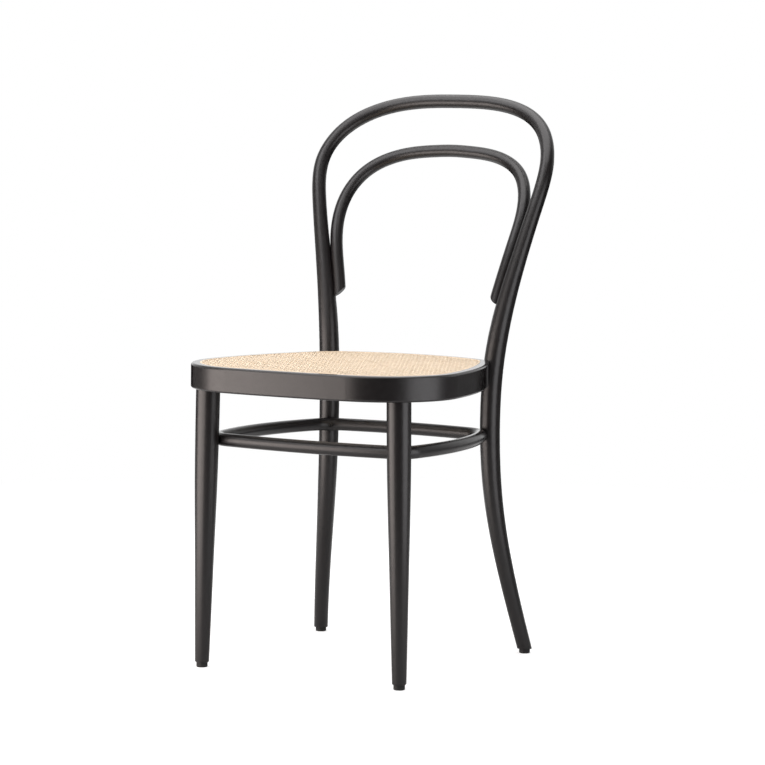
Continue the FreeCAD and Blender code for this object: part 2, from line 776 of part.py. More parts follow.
def glide_and_nail(name, centre):
    body = doc.addObject("PartDesign::Body", name + "_blank")
    plan = sketch_on(body, "disc_plan", "XY_Plane")
    plan.addGeometry(Part.Circle(Vector(), Vector(0, 0, 1), size["glide_radius"]), False)
    plan.addConstraint(Sketcher.Constraint("Coincident", 0, 3, -1, 1))
    bind(plan, Sketcher.Constraint("Radius", 0, size["glide_radius"]), "glide_radius", "Sizes.glide_radius")
    disc = pad(body, plan, "disc", "Sizes.glide_height")
    doc.recompute()
    bottom = [f"Edge{number}" for number, edge in level_edges(disc.Shape, 0)]
    fillet(body, disc, "rounding", bottom, "Sizes.glide_rounding")
    spot = Vector(centre.x, centre.y, 0)
    body.Placement.Base = spot
    raised = FreeCAD.Placement(spot + Vector(0, 0, size["nail_sink"]), FreeCAD.Rotation())
    shank = primitive("Cylinder", name + "_nail_shank", raised, Radius="Sizes.nail_radius", Height="Sizes.nail_length")
    head = primitive("Cylinder", name + "_nail_head", raised, Radius="Sizes.nail_head_radius",
                     Height="Sizes.nail_head_height")
    nail = fused(name + "_nail", [shank, head])
    recess = primitive("Cylinder", name + "_recess", FreeCAD.Placement(spot, FreeCAD.Rotation()),
                       Radius="Sizes.nail_head_radius", Height="Sizes.nail_sink")
    return cut(name, body, [nail, recess]), nail


# The chair, put together

seat_blank = make_seat_ring_blank()
cane_blank = make_cane_blank()
spline = make_cane_spline()
leg_blanks = {name: make_leg_blank(name, side) for name, side in SIDES.items()}
ring_blank = make_leg_ring_blank()
loop_blank = make_loop_blank()
arch_blank = make_arch_blank()
doc.recompute()

seat_cuts, loop_cuts, arch_cuts, ring_cuts = list(leg_blanks.values()), [seat_blank], [loop_blank], []
leg_cuts = {name: [] for name in SIDES}
bolts, washers, nuts, ring_screws, lock_screws, arch_screws, plugs, glides, nails = ([] for _ in range(9))

for name, side in SIDES.items():
    bolt, washer, nut, upright_holes, seat_holes = carriage_bolt(f"seat_bolt_{name}", side)
    bolts.append(bolt)
    washers.append(washer)
    nuts.append(nut)
    loop_cuts.extend(upright_holes)
    seat_cuts.extend(seat_holes)

    way = polar(-size["leg_angle"])
    inner_face = size["seat_front_corner_radius"] - size["seat_ring_width"]
    lock = corner("seat", "front") + way * (inner_face + size["screw_sink"])
    lock.z = seat_under + size["tenon_length"] / 2
    screw, hole = wood_screw(f"lock_screw_{name}", mirrored(lock, side), mirrored(way, side), "lock_screw_length")
    lock_screws.append(screw)
    seat_cuts.extend(hole)
    leg_cuts[name].append(hole[0])

    for end, turn in ring_turns.items():
        way = polar(turn)
        reach = size[f"ring_{end}_corner_radius"] - size["ring_rod_radius"] + size["screw_sink"]
        head = corner("ring", end) + way * reach
        head.z = size["ring_height"]
        screw, hole = wood_screw(f"ring_screw_{end}_{name}", mirrored(head, side), mirrored(way, side),
                                 "ring_screw_length")
        ring_screws.append(screw)
        ring_cuts.extend(hole)
        (leg_cuts[name] if end == "front" else loop_cuts).append(hole[0])

    for level in ("low", "high"):
        height = size["arch_end_height"] + size[f"arch_screw_{level}_rise"]
        point, radius = loop_at(height)
        share = (height - size["arch_end_height"]) / (size["arch_joint_height"] - size["arch_end_height"])
        turn = size["arch_end_angle"] + share * (size["arch_joint_angle"] - size["arch_end_angle"])
        way = polar(turn)
        head = point - way * (radius - size["plug_depth"])
        screw, hole = wood_screw(f"arch_screw_{level}_{name}", mirrored(head, side), mirrored(way, side),
                                 "arch_screw_length")
        arch_screws.append(screw)
        loop_cuts.extend(hole)
        arch_cuts.append(hole[0])
        plug = doc.addObject("Part::Common", f"plug_{level}_{name}")
        plug.Base, plug.Tool = hole[1], loop_blank
        plugs.append(plug)

    arch_cuts.append(make_end_tool(name, side))

    for end, foot in (("front", leg_at(size["glide_height"])), ("rear", loop_at(size["glide_height"]))):
        glide, nail = glide_and_nail(f"glide_{end}_{name}", mirrored(foot[0], side))
        glides.append(glide)
        nails.append(nail)
        (leg_cuts[name] if end == "front" else loop_cuts).append(nail)

slab_corner = FreeCAD.Placement(Vector(-2, -2, -2) * size["seat_side_radius"], FreeCAD.Rotation())
slab = primitive("Box", "below_glides", slab_corner, Length="4 * Sizes.seat_side_radius",
                 Width="4 * Sizes.seat_side_radius", Height="2 * Sizes.seat_side_radius + Sizes.glide_height")
legs = [cut(f"front_leg_{name}", blank, leg_cuts[name]) for name, blank in leg_blanks.items()]

nodes = [
    cut("back_loop", loop_blank, loop_cuts + [slab]),
    cut("inner_arch", arch_blank, arch_cuts),
    cut("seat_ring", seat_blank, seat_cuts),
    cut("leg_ring", ring_blank, ring_cuts + list(leg_blanks.values()) + [loop_blank]),
    cut("cane_panel", cane_blank, [make_cane_openings()]),
    spline,
    *legs,
    *glides,
    group("glide_nails", nails),
    group("leg_ring_screws", ring_screws),
    group("leg_lock_screws", lock_screws),
    group("arch_screws", arch_screws),
    group("arch_screw_plugs", plugs),
    group("seat_bolts", bolts),
    group("seat_bolt_washers", washers),
    group("seat_bolt_nuts", nuts),
]
doc.recompute()

for item in doc.Objects:
    if "Invalid" in item.State or "Error" in item.State:
        raise RuntimeError(f"{item.Label} failed: {item.State}")
for node in nodes:
    if node.Shape.isNull() or not node.Shape.isValid():
        raise RuntimeError(f"{node.Label} has no valid shape")

os.makedirs("parts", exist_ok=True)
for node in nodes:
    node.Shape.exportStep(f"parts/{node.Label}.step")
    box = node.Shape.optimalBoundingBox()
    print(f"{node.Label}: {len(node.Shape.Solids)} solids, {node.Shape.Volume / 1000:.2f} cm3,"
          f" x {box.XMin:.1f} to {box.XMax:.1f}, y {box.YMin:.1f} to {box.YMax:.1f},"
          f" z {box.ZMin:.1f} to {box.ZMax:.1f}")
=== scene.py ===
from math import atan2, cos, hypot, pi, radians, sin, sqrt

import bpy
import numpy as np
from mathutils import Matrix, Vector
from mathutils.kdtree import KDTree


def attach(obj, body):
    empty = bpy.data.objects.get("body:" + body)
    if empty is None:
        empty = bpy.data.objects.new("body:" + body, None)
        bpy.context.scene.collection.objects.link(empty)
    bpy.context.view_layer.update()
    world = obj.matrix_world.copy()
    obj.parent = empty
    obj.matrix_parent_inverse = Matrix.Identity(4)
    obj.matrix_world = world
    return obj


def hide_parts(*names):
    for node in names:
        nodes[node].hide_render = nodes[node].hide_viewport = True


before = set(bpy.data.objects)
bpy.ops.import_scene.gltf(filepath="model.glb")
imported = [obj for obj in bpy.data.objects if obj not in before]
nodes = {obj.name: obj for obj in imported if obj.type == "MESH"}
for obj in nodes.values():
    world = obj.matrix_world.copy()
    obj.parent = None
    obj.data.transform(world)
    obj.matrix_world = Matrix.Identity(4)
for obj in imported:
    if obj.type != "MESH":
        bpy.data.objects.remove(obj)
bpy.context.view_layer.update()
print("frame loaded:", len(nodes), "parts")


# Helpers for node trees


def feed(tree, socket, value):
    if isinstance(value, bpy.types.NodeSocket):
        tree.links.new(value, socket)
    elif value is not None:
        socket.default_value = value


def place(tree, kind, settings=None, **values):  # a node, its settings, and its inputs by name
    node = tree.nodes.new(kind)
    for name, value in (settings or {}).items():
        setattr(node, name, value)
    for name, value in values.items():
        feed(tree, node.inputs[name.replace("_", " ")], value)
    return node


def calc(tree, operation, *values):
    node = place(tree, "ShaderNodeMath", {"operation": operation})
    for socket, value in zip(node.inputs, values):
        feed(tree, socket, value)
    return node.outputs[0]


def calcVector(tree, operation, *values):
    node = place(tree, "ShaderNodeVectorMath", {"operation": operation})
    for socket, value in zip(node.inputs, values):
        feed(tree, socket, value)
    return node.outputs["Value" if operation in ("DOT_PRODUCT", "LENGTH") else "Vector"]


def vector(tree, x=0.0, y=0.0, z=0.0):
    return place(tree, "ShaderNodeCombineXYZ", X=x, Y=y, Z=z).outputs[0]


def ramp(tree, factor, stops):  # a colour ramp from (position, colour) pairs
    node = place(tree, "ShaderNodeValToRGB", Fac=factor)
    while len(node.color_ramp.elements) < len(stops):
        node.color_ramp.elements.new(0.5)
    for element, (position, colour) in zip(node.color_ramp.elements, stops):
        element.position = position
        element.color = (*colour, 1.0)
    return node.outputs["Color"]


def spread(tree, value, low, high, newLow, newHigh):
    node = place(tree, "ShaderNodeMapRange", From_Min=low, From_Max=high, To_Min=newLow, To_Max=newHigh)
    feed(tree, node.inputs["Value"], value)
    return node.outputs["Result"]


def noise(tree, where, scale, detail=2.0, roughness=0.5):
    node = place(tree, "ShaderNodeTexNoise", Vector=where, Scale=scale, Detail=detail, Roughness=roughness)
    return node.outputs["Fac"]


def bump(tree, height, distance, strength=1.0, onTopOf=None):
    node = place(tree, "ShaderNodeBump", Strength=strength, Distance=distance, Height=height)
    feed(tree, node.inputs["Normal"], onTopOf)
    return node.outputs["Normal"]


def storeOnPoints(tree, geometry, name, value, kind="FLOAT"):  # a named value on the geometry's points
    node = place(tree, "GeometryNodeStoreNamedAttribute", {"data_type": kind, "domain": "POINT"},
                 Geometry=geometry, Name=name)
    feed(tree, [socket for socket in node.inputs if socket.name == "Value" and socket.enabled][0], value)
    return node.outputs["Geometry"]


def readFromPoints(tree, name):
    node = place(tree, "GeometryNodeInputNamedAttribute", {"data_type": "FLOAT"}, Name=name)
    return node.outputs["Attribute"]


def newMaterial(name):
    material = bpy.data.materials.new(name)
    material.use_nodes = True
    tree = material.node_tree
    return material, tree, tree.nodes["Principled BSDF"]


def addObject(name, data):
    thing = bpy.data.objects.new(name, data)
    bpy.context.scene.collection.objects.link(thing)
    return thing


# Materials

lacquer = {
    "baseDark": (0.0052, 0.0038, 0.0040),
    "baseLight": (0.0072, 0.0055, 0.0056),
    "roughness": (0.34, 0.40),
    "glancingRoughness": 0.10,  # satin lacquer mirrors more clearly at a glancing view
    "glancingRange": (0.74, 0.90),
    "cloudScale": 9.0,
    "satinScale": 140.0,
    "poreScale": (1500.0, 1500.0, 26.0),  # across, across and along the rod, per metre
    "poreDepth": 0.000003,
    "rippleScale": 60.0,
    "rippleDepth": 0.00004,
    "ior": 1.58,
    "coatWeight": 0.12,
    "coatRoughness": 0.22,
}


def makeLacquer():
    material, tree, shader = newMaterial("blackLacquer")
    wood = place(tree, "ShaderNodeAttribute", {"attribute_name": "woodFlow"}).outputs["Vector"]
    pores = noise(tree, calcVector(tree, "MULTIPLY", wood, lacquer["poreScale"]), 1.0, 3.0, 0.6)
    ripple = noise(tree, wood, lacquer["rippleScale"])
    cloud = noise(tree, wood, lacquer["cloudScale"], 3.0)
    tone = ramp(tree, cloud, [(0.3, lacquer["baseDark"]), (0.75, lacquer["baseLight"])])
    feed(tree, shader.inputs["Base Color"], tone)
    satin = spread(tree, noise(tree, wood, lacquer["satinScale"], 4.0), 0.3, 0.7, *lacquer["roughness"])
    facing = place(tree, "ShaderNodeLayerWeight", Blend=0.5).outputs["Facing"]
    glancing = spread(tree, facing, *lacquer["glancingRange"], 0.0, 1.0)
    clearer = calc(tree, "MULTIPLY", glancing, calc(tree, "SUBTRACT", lacquer["glancingRoughness"], satin))
    feed(tree, shader.inputs["Roughness"], calc(tree, "ADD", satin, clearer))
    rippled = bump(tree, ripple, lacquer["rippleDepth"])
    feed(tree, shader.inputs["Normal"], bump(tree, pores, lacquer["poreDepth"], onTopOf=rippled))
    feed(tree, shader.inputs["Coat Normal"], rippled)
    shader.inputs["IOR"].default_value = lacquer["ior"]
    shader.inputs["Coat Weight"].default_value = lacquer["coatWeight"]
    shader.inputs["Coat Roughness"].default_value = lacquer["coatRoughness"]
    return material


cane = {
    "pale": (0.86, 0.71, 0.53),
    "middle": (0.80, 0.65, 0.467),
    "deep": (0.69, 0.52, 0.34),
    "roughness": (0.38, 0.52),
    "fibreScale": (2600.0, 2600.0, 55.0),  # across, across and along the strand, per metre
    "fibreDepth": 0.00003,
    "blotchScale": (300.0, 300.0, 30.0),
    "shares": (0.35, 0.45, 0.4),  # how far the fibres, the strand's own tint and the blotches set the tone
}
reed = {"pale": (0.86, 0.72, 0.55), "middle": (0.82, 0.67, 0.49), "deep": (0.74, 0.57, 0.39)}


def makeCane(name, tones):
    material, tree, shader = newMaterial(name)
    flow = place(tree, "ShaderNodeAttribute", {"attribute_name": "woodFlow"}).outputs["Vector"]
    tint = place(tree, "ShaderNodeAttribute", {"attribute_name": "strandTint"}).outputs["Fac"]
    fibres = noise(tree, calcVector(tree, "MULTIPLY", flow, cane["fibreScale"]), 1.0)
    blotches = noise(tree, calcVector(tree, "MULTIPLY", flow, cane["blotchScale"]), 1.0, 3.0)
    fibreShare, tintShare, blotchShare = cane["shares"]
    mixed = calc(tree, "MULTIPLY_ADD", tint, tintShare, calc(tree, "MULTIPLY", blotches, blotchShare))
    mixed = calc(tree, "MULTIPLY_ADD", fibres, fibreShare, mixed)
    tone = ramp(tree, mixed, [(0.28, tones["deep"]), (0.48, tones["middle"]), (0.72, tones["pale"])])
    feed(tree, shader.inputs["Base Color"], tone)
    feed(tree, shader.inputs["Roughness"], spread(tree, blotches, 0.3, 0.7, *cane["roughness"]))
    feed(tree, shader.inputs["Normal"], bump(tree, fibres, cane["fibreDepth"]))
    return material


steel = {
    "dark": (0.030, 0.028, 0.026),
    "worn": (0.16, 0.15, 0.14),
    "metallic": 0.85,
    "roughness": (0.32, 0.55),
    "patchScale": 420.0,
    "patchDepth": 0.00005,
}


def makeSteel():
    material, tree, shader = newMaterial("darkSteel")
    where = place(tree, "ShaderNodeTexCoord").outputs["Object"]
    patches = noise(tree, where, steel["patchScale"], 4.0)
    tone = ramp(tree, patches, [(0.42, steel["dark"]), (0.78, steel["worn"])])
    feed(tree, shader.inputs["Base Color"], tone)
    feed(tree, shader.inputs["Roughness"], spread(tree, patches, 0.3, 0.7, *steel["roughness"]))
    feed(tree, shader.inputs["Normal"], bump(tree, patches, steel["patchDepth"], strength=0.4))
    shader.inputs["Metallic"].default_value = steel["metallic"]
    return material


glide = {
    "clean": (0.012, 0.012, 0.012),
    "dusty": (0.035, 0.034, 0.032),
    "dustHeight": 0.004,
    "roughness": (0.42, 0.6),
    "grainScale": 900.0,
    "grainDepth": 0.00004,
}


def makeGlidePlastic():
    material, tree, shader = newMaterial("glidePlastic")
    where = place(tree, "ShaderNodeTexCoord").outputs["Object"]
    grain = noise(tree, where, glide["grainScale"], 3.0)
    height = place(tree, "ShaderNodeSeparateXYZ", Vector=where).outputs["Z"]
    dust = calc(tree, "MULTIPLY", spread(tree, height, 0.0, glide["dustHeight"], 1.0, 0.0), grain)
    tone = ramp(tree, dust, [(0.1, glide["clean"]), (0.7, glide["dusty"])])
    feed(tree, shader.inputs["Base Color"], tone)
    feed(tree, shader.inputs["Roughness"], spread(tree, grain, 0.3, 0.7, *glide["roughness"]))
    feed(tree, shader.inputs["Normal"], bump(tree, grain, glide["grainDepth"], strength=0.5))
    return material


lacquerMaterial = makeLacquer()
caneMaterial = makeCane("naturalCane", cane)
reedMaterial = makeCane("naturalReed", reed)
steelMaterial = makeSteel()
glideMaterial = makeGlidePlastic()
print("materials ready")


# Lines that the wood was bent along, in metres. The finish follows them.

bends = {
    "seatRing": {
        "front": (0.0907, -0.1369, 0.120),  # middle and radius of a corner's arc
        "rear": (0.0890, 0.0548, 0.0688),
        "big": (1.325, 0.581, 0.325),  # radii of the front, side and rear arcs
    },
    "legRing": {
        "front": (0.1332, -0.1573, 0.032),
        "rear": (0.1032, 0.0603, 0.042),
        "big": (0.908, 0.412, 0.601),
    },
    "seatRingWidth": 0.040,
    "seatRingHeight": 0.43,
    "legRingHeight": 0.3356,
    "frontLeg": {"foot": (0.1658, -0.2058, 0.0), "top": (0.1589, -0.2058, 0.44)},
    "splineInset": 0.01515,  # from the seat ring's outline to the middle of the groove
    "splineHeight": 0.445,
    "upright": (0.14172, 0.11520),
    "loop": [  # height, then how far out and back from the upright
        (0.0, 0.0384, 0.0492), (0.107, 0.0207, 0.0230), (0.2235, 0.0044, 0.0035),
        (0.351, -0.0022, -0.0026), (0.430, 0.0, 0.0), (0.481, 0.0050, 0.0050),
        (0.597, 0.0272, 0.0238), (0.683, 0.0469, 0.0431), (0.7396, 0.0526, 0.0627),
        (0.772, 0.0419, 0.0818), (0.8026, 0.0128, 0.1064), (0.826, -0.0499, 0.1287),
    ],
    "loopCrown": (0.0, 0.1350, 0.8321),
    "arch": [  # points of its middle line
        (0.1530, 0.1253, 0.533), (0.1547, 0.1383, 0.580), (0.1538, 0.1532, 0.6225),
        (0.1574, 0.1686, 0.6575), (0.1521, 0.1889, 0.6924), (0.1309, 0.2124, 0.7248),
        (0.0859, 0.2311, 0.7471), (0.0277, 0.2382, 0.7549),
    ],
    "archCrown": (0.0, 0.2391, 0.7559),
}


def bentOutline(shape, inset=0.0, steps=24):  # closed line of eight arcs, moved inwards by the inset
    (frontX, frontY, frontR), (rearX, rearY, rearR) = shape["front"], shape["rear"]
    frontBig, sideBig, rearBig = shape["big"]
    frontCentre = (0.0, frontY + sqrt((frontBig - frontR) ** 2 - frontX**2))
    rearCentre = (0.0, rearY - sqrt((rearBig - rearR) ** 2 - rearX**2))
    reachFront, reachRear = sideBig - frontR, sideBig - rearR
    apart = hypot(rearX - frontX, rearY - frontY)
    along = (reachFront**2 - reachRear**2 + apart**2) / (2 * apart)
    off = sqrt(reachFront**2 - along**2)
    ux, uy = (rearX - frontX) / apart, (rearY - frontY) / apart
    sideCentre = (frontX + ux * along - uy * off, frontY + uy * along + ux * off)

    def turnFrom(centre, x, y):
        return atan2(y - centre[1], x - centre[0])

    turns = [
        -pi / 2,
        turnFrom(frontCentre, frontX, frontY),
        turnFrom(sideCentre, frontX, frontY),
        turnFrom(sideCentre, rearX, rearY),
        turnFrom(rearCentre, rearX, rearY),
        pi / 2,
    ]
    centres = [frontCentre, (frontX, frontY), sideCentre, (rearX, rearY), rearCentre]
    arcs = zip(centres, (frontBig, frontR, sideBig, rearR, rearBig), turns, turns[1:])
    half = []
    for (x, y), r, start, stop in arcs:
        for step in range(steps):
            turn = start + (stop - start) * step / steps
            half.append((x + (r - inset) * cos(turn), y + (r - inset) * sin(turn)))
    half.append((0.0, rearCentre[1] + rearBig - inset))
    return half + [(-x, y) for x, y in reversed(half[1:-1])]


def smoothLine(stations, each=24):  # a soft curve through the stations
    ends = [2 * stations[0] - stations[1], *stations, 2 * stations[-1] - stations[-2]]
    line = []
    for a, b, c, d in zip(ends, ends[1:], ends[2:], ends[3:]):
        for step in range(each):
            t = step / each
            squared, cubed = 2 * a - 5 * b + 4 * c - d, 3 * b - a - 3 * c + d
            line.append(0.5 * (2 * b + (c - a) * t + squared * t**2 + cubed * t**3))
    return line + [stations[-1]]


def wholeLine(half):  # the other half is its mirror image
    return half + [Vector((-p.x, p.y, p.z)) for p in reversed(half[:-1])]


def ringLine(outline, height):
    return [Vector((x, y, height)) for x, y in outline]


def frontLegLine(side):
    ends = bends["frontLeg"]["foot"], bends["frontLeg"]["top"]
    return [Vector((side * x, y, z)) for x, y, z in ends]


upX, upY = bends["upright"]
loopHalf = [Vector((upX + out, upY + back, up)) for up, out, back in bends["loop"]]
loopHalf.append(Vector((0.0, upY + bends["loopCrown"][1], bends["loopCrown"][2])))
archHalf = [Vector(point) for point in bends["arch"]] + [Vector(bends["archCrown"])]
seatLine = bentOutline(bends["seatRing"], bends["seatRingWidth"] / 2)
splineOutline = bentOutline(bends["seatRing"], bends["splineInset"])
paths = {
    "back_loop": smoothLine(wholeLine(loopHalf)),
    "inner_arch": smoothLine(wholeLine(archHalf)),
    "seat_ring": ringLine(seatLine, bends["seatRingHeight"]),
    "leg_ring": ringLine(bentOutline(bends["legRing"]), bends["legRingHeight"]),
    "front_leg_right": frontLegLine(1),
    "front_leg_left": frontLegLine(-1),
    "cane_spline": ringLine(splineOutline, bends["splineHeight"]),
}


def weldedCopy(node, name):  # the node's loose triangles joined into one skin, with its own shading kept
    old = nodes[node].data
    old.calc_loop_triangles()
    points = np.empty(len(old.vertices) * 3)
    old.vertices.foreach_get("co", points)
    corners, back = np.unique(np.round(points.reshape(-1, 3), 6), axis=0, return_inverse=True)
    loops = np.empty(len(old.loops), int)
    old.loops.foreach_get("vertex_index", loops)
    normals = np.array([corner.vector for corner in old.corner_normals])
    faces = back.reshape(-1)[loops].reshape(-1, 3)
    whole = (faces[:, 0] != faces[:, 1]) & (faces[:, 1] != faces[:, 2]) & (faces[:, 2] != faces[:, 0])
    mesh = bpy.data.meshes.new(name)
    mesh.from_pydata(corners.tolist(), [], faces[whole].tolist())
    mesh.polygons.foreach_set("use_smooth", [True] * len(mesh.polygons))
    mesh.normals_split_custom_set(normals.reshape(-1, 3, 3)[whole].reshape(-1, 3).tolist())
    return addObject(name, mesh)


def addWoodFlow(piece, path, start=0.0):  # every point's place beside and along its path
    tree = KDTree(len(path))
    for number, point in enumerate(path):
        tree.insert(point, number)
    tree.balance()
    reached = [start]
    for a, b in zip(path, path[1:]):
        reached.append(reached[-1] + (b - a).length)
    ahead = [(path[min(i + 1, len(path) - 1)] - path[max(i - 1, 0)]).normalized() for i in range(len(path))]
    values = []
    for vertex in piece.data.vertices:
        number = tree.find(vertex.co)[1]
        away = vertex.co - path[number]
        forward = ahead[number]
        side = forward.cross((0, 0, 1) if abs(forward.z) < 0.9 else (0, 1, 0)).normalized()
        values.extend((away.dot(side), away.dot(forward.cross(side)), reached[number] + away.dot(forward)))
    flow = piece.data.attributes.new("woodFlow", "FLOAT_VECTOR", "POINT")
    flow.data.foreach_set("vector", values)


def finishPiece(piece, replaced):
    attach(piece, "root")
    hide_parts(replaced)


def finishWood(node, name, path, material, start=0.0):
    piece = weldedCopy(node, name)
    addWoodFlow(piece, path, start)
    piece.data.materials.append(material)
    finishPiece(piece, node)


woodPieces = {
    "back_loop": "backLoop",
    "inner_arch": "innerArch",
    "seat_ring": "seatRing",
    "leg_ring": "legRing",
    "front_leg_right": "frontLegRight",
    "front_leg_left": "frontLegLeft",
}
flowGap = 3.0  # metres between two pieces' places in the wood's pattern, so that no two look alike
for number, (node, name) in enumerate(woodPieces.items()):
    finishWood(node, name, paths[node], lacquerMaterial, flowGap * number)
finishWood("cane_spline", "reedSpline", paths["cane_spline"], reedMaterial)
print("bent wood finished:", len(woodPieces) + 1, "pieces")


# Woven cane: pairs of strands both ways, and single strands both ways across them

weave = {
    "pitch": 0.0127,
    "pairSpread": 0.00128,  # half the distance between the two strands of a pair
    "strandWidth": 0.0024,
    "diagonalWidth": 0.00275,
    "strandThickness": 0.0008,
    "pairLift": 0.00024,
    "diagonalLift": 0.00056,
    "centre": (0.0, -0.0604, 0.4469),
    "reach": 0.27,  # half the length of the longest strand
    "crowding": 0.10,  # how far a strand's points gather where it crosses a pair, as a share of the pitch
    "tuckWidth": 0.0030,
    "tuckDepth": 0.0022,
    "firstSeed": 7,
    "patternGap": 3.7,  # metres, so that each strand has its own stretch of the cane's pattern
}


def weaveTree():
    tree = bpy.data.node_groups.new("Woven cane", "GeometryNodeTree")
    face = tree.interface
    face.new_socket("Geometry", in_out="OUTPUT", socket_type="NodeSocketGeometry")
    kinds = [
        ("Opening", "Geometry"), ("Turn", "Float"), ("Lines", "Int"), ("Line Spacing", "Float"),
        ("Per Line", "Int"), ("Pair Spread", "Float"), ("Points", "Int"), ("Step", "Float"),
        ("Crowding", "Float"), ("Pitch", "Float"), ("Crossing Axis", "Vector"), ("Pair Lift", "Float"),
        ("Diagonal Lift", "Float"), ("Strand Width", "Float"), ("Strand Thickness", "Float"),
        ("Centre", "Vector"), ("Tuck Width", "Float"), ("Tuck Depth", "Float"), ("Seed", "Int"),
        ("Pattern Gap", "Float"), ("Finish", "Material"),
    ]
    for name, kind in kinds:
        face.new_socket(name, in_out="INPUT", socket_type="NodeSocket" + kind)
    given = tree.nodes.new("NodeGroupInput").outputs

    # where each strand lies across the seat
    index = place(tree, "GeometryNodeInputIndex").outputs[0]
    line = calc(tree, "FLOOR", calc(tree, "DIVIDE", index, given["Per Line"]))
    member = calc(tree, "SUBTRACT", index, calc(tree, "MULTIPLY", line, given["Per Line"]))
    lastMember = calc(tree, "SUBTRACT", given["Per Line"], 1.0)
    side = calc(tree, "SUBTRACT", calc(tree, "MULTIPLY", member, 2.0), lastMember)
    row = calc(tree, "ADD", calc(tree, "SUBTRACT", line, calc(tree, "DIVIDE", given["Lines"], 2.0)), 0.5)
    aside = calc(tree, "MULTIPLY", side, given["Pair Spread"])
    across = calc(tree, "MULTIPLY_ADD", row, given["Line Spacing"], aside)
    total = calc(tree, "MULTIPLY", given["Lines"], given["Per Line"])
    starts = place(tree, "GeometryNodeMeshLine", {"mode": "OFFSET"}, Count=total)
    spots = vector(tree, y=across)
    starts = place(tree, "GeometryNodeSetPosition", Geometry=starts.outputs[0], Position=spots)
    tint = place(tree, "FunctionNodeRandomValue", {"data_type": "FLOAT"}, ID=index, Seed=given["Seed"])
    starts = storeOnPoints(tree, starts.outputs[0], "side", side)
    starts = storeOnPoints(tree, starts, "strandTint", tint.outputs[1])

    # one straight strand, with more points where it crosses a pair
    half = calc(tree, "MULTIPLY", calc(tree, "MULTIPLY", given["Points"], given["Step"]), -0.5)
    strand = place(tree, "GeometryNodeMeshLine", {"mode": "OFFSET"}, Count=given["Points"],
                   Start_Location=vector(tree, x=half), Offset=vector(tree, x=given["Step"]))
    spot = place(tree, "GeometryNodeInputPosition").outputs[0]
    spotX = place(tree, "ShaderNodeSeparateXYZ", Vector=spot).outputs["X"]
    phase = calc(tree, "MULTIPLY", calc(tree, "DIVIDE", spotX, given["Pitch"]), 2 * pi)
    shift = calc(tree, "MULTIPLY", calc(tree, "SINE", phase), given["Crowding"])
    shift = calc(tree, "MULTIPLY", shift, given["Pitch"])
    strand = place(tree, "GeometryNodeSetPosition", Geometry=strand.outputs[0], Offset=vector(tree, x=shift))
    laid = place(tree, "GeometryNodeInstanceOnPoints", Points=starts, Instance=strand.outputs[0])
    laid = place(tree, "GeometryNodeRealizeInstances", Geometry=laid.outputs[0])
    measured = storeOnPoints(tree, laid.outputs[0], "along", spotX)
    turned = place(tree, "GeometryNodeTransform", Geometry=measured, Rotation=vector(tree, z=given["Turn"]))

    # over and under
    crossing = calcVector(tree, "DOT_PRODUCT", spot, given["Crossing Axis"])
    crossing = calc(tree, "DIVIDE", crossing, given["Pitch"])
    fromPair = calc(tree, "SUBTRACT", calc(tree, "FRACT", crossing), 0.5)
    nearness = calc(tree, "DIVIDE", fromPair, calc(tree, "DIVIDE", given["Pair Spread"], given["Pitch"]))
    squared = calc(tree, "MULTIPLY", nearness, nearness)
    bell = calc(tree, "EXPONENT", calc(tree, "MULTIPLY_ADD", squared, -0.5, 0.5))
    pairRise = calc(tree, "MULTIPLY", readFromPoints(tree, "side"), given["Pair Lift"])
    pairWave = calc(tree, "MULTIPLY", calc(tree, "MULTIPLY", nearness, bell), pairRise)
    swing = calc(tree, "COSINE", calc(tree, "MULTIPLY", crossing, 2 * pi))
    flatter = calc(tree, "MULTIPLY_ADD", calc(tree, "MULTIPLY", swing, swing), -0.5, 1.5)
    flatSwing = calc(tree, "MULTIPLY", swing, flatter)
    height = calc(tree, "MULTIPLY_ADD", flatSwing, given["Diagonal Lift"], pairWave)
    woven = place(tree, "GeometryNodeSetPosition", Geometry=turned.outputs[0], Offset=vector(tree, z=height))
    moved = place(tree, "GeometryNodeTransform", Geometry=woven.outputs[0], Translation=given["Centre"])

    # kept inside the groove, and tucked down at its edge
    above = calcVector(tree, "ADD", spot, (0.0, 0.0, 1.0))
    hit = place(tree, "GeometryNodeRaycast", {"data_type": "FLOAT"}, Target_Geometry=given["Opening"],
                Source_Position=above, Ray_Direction=(0.0, 0.0, -1.0), Ray_Length=3.0)
    outside = place(tree, "FunctionNodeBooleanMath", {"operation": "NOT"})
    tree.links.new(hit.outputs["Is Hit"], outside.inputs[0])
    kept = place(tree, "GeometryNodeDeleteGeometry", {"domain": "POINT"}, Geometry=moved.outputs[0],
                 Selection=outside.outputs[0])
    level = calcVector(tree, "MULTIPLY", spot, (1.0, 1.0, 0.0))
    edge = place(tree, "GeometryNodeProximity", {"target_element": "EDGES"}, Geometry=given["Opening"],
                 Sample_Position=level)
    slope = calc(tree, "DIVIDE", edge.outputs["Distance"], given["Tuck Width"])
    tuck = calc(tree, "POWER", calc(tree, "MAXIMUM", calc(tree, "SUBTRACT", 1.0, slope), 0.0), 1.5)
    drop = calc(tree, "MULTIPLY", tuck, calc(tree, "MULTIPLY", given["Tuck Depth"], -1.0))
    kept = place(tree, "GeometryNodeSetPosition", Geometry=kept.outputs[0], Offset=vector(tree, z=drop))

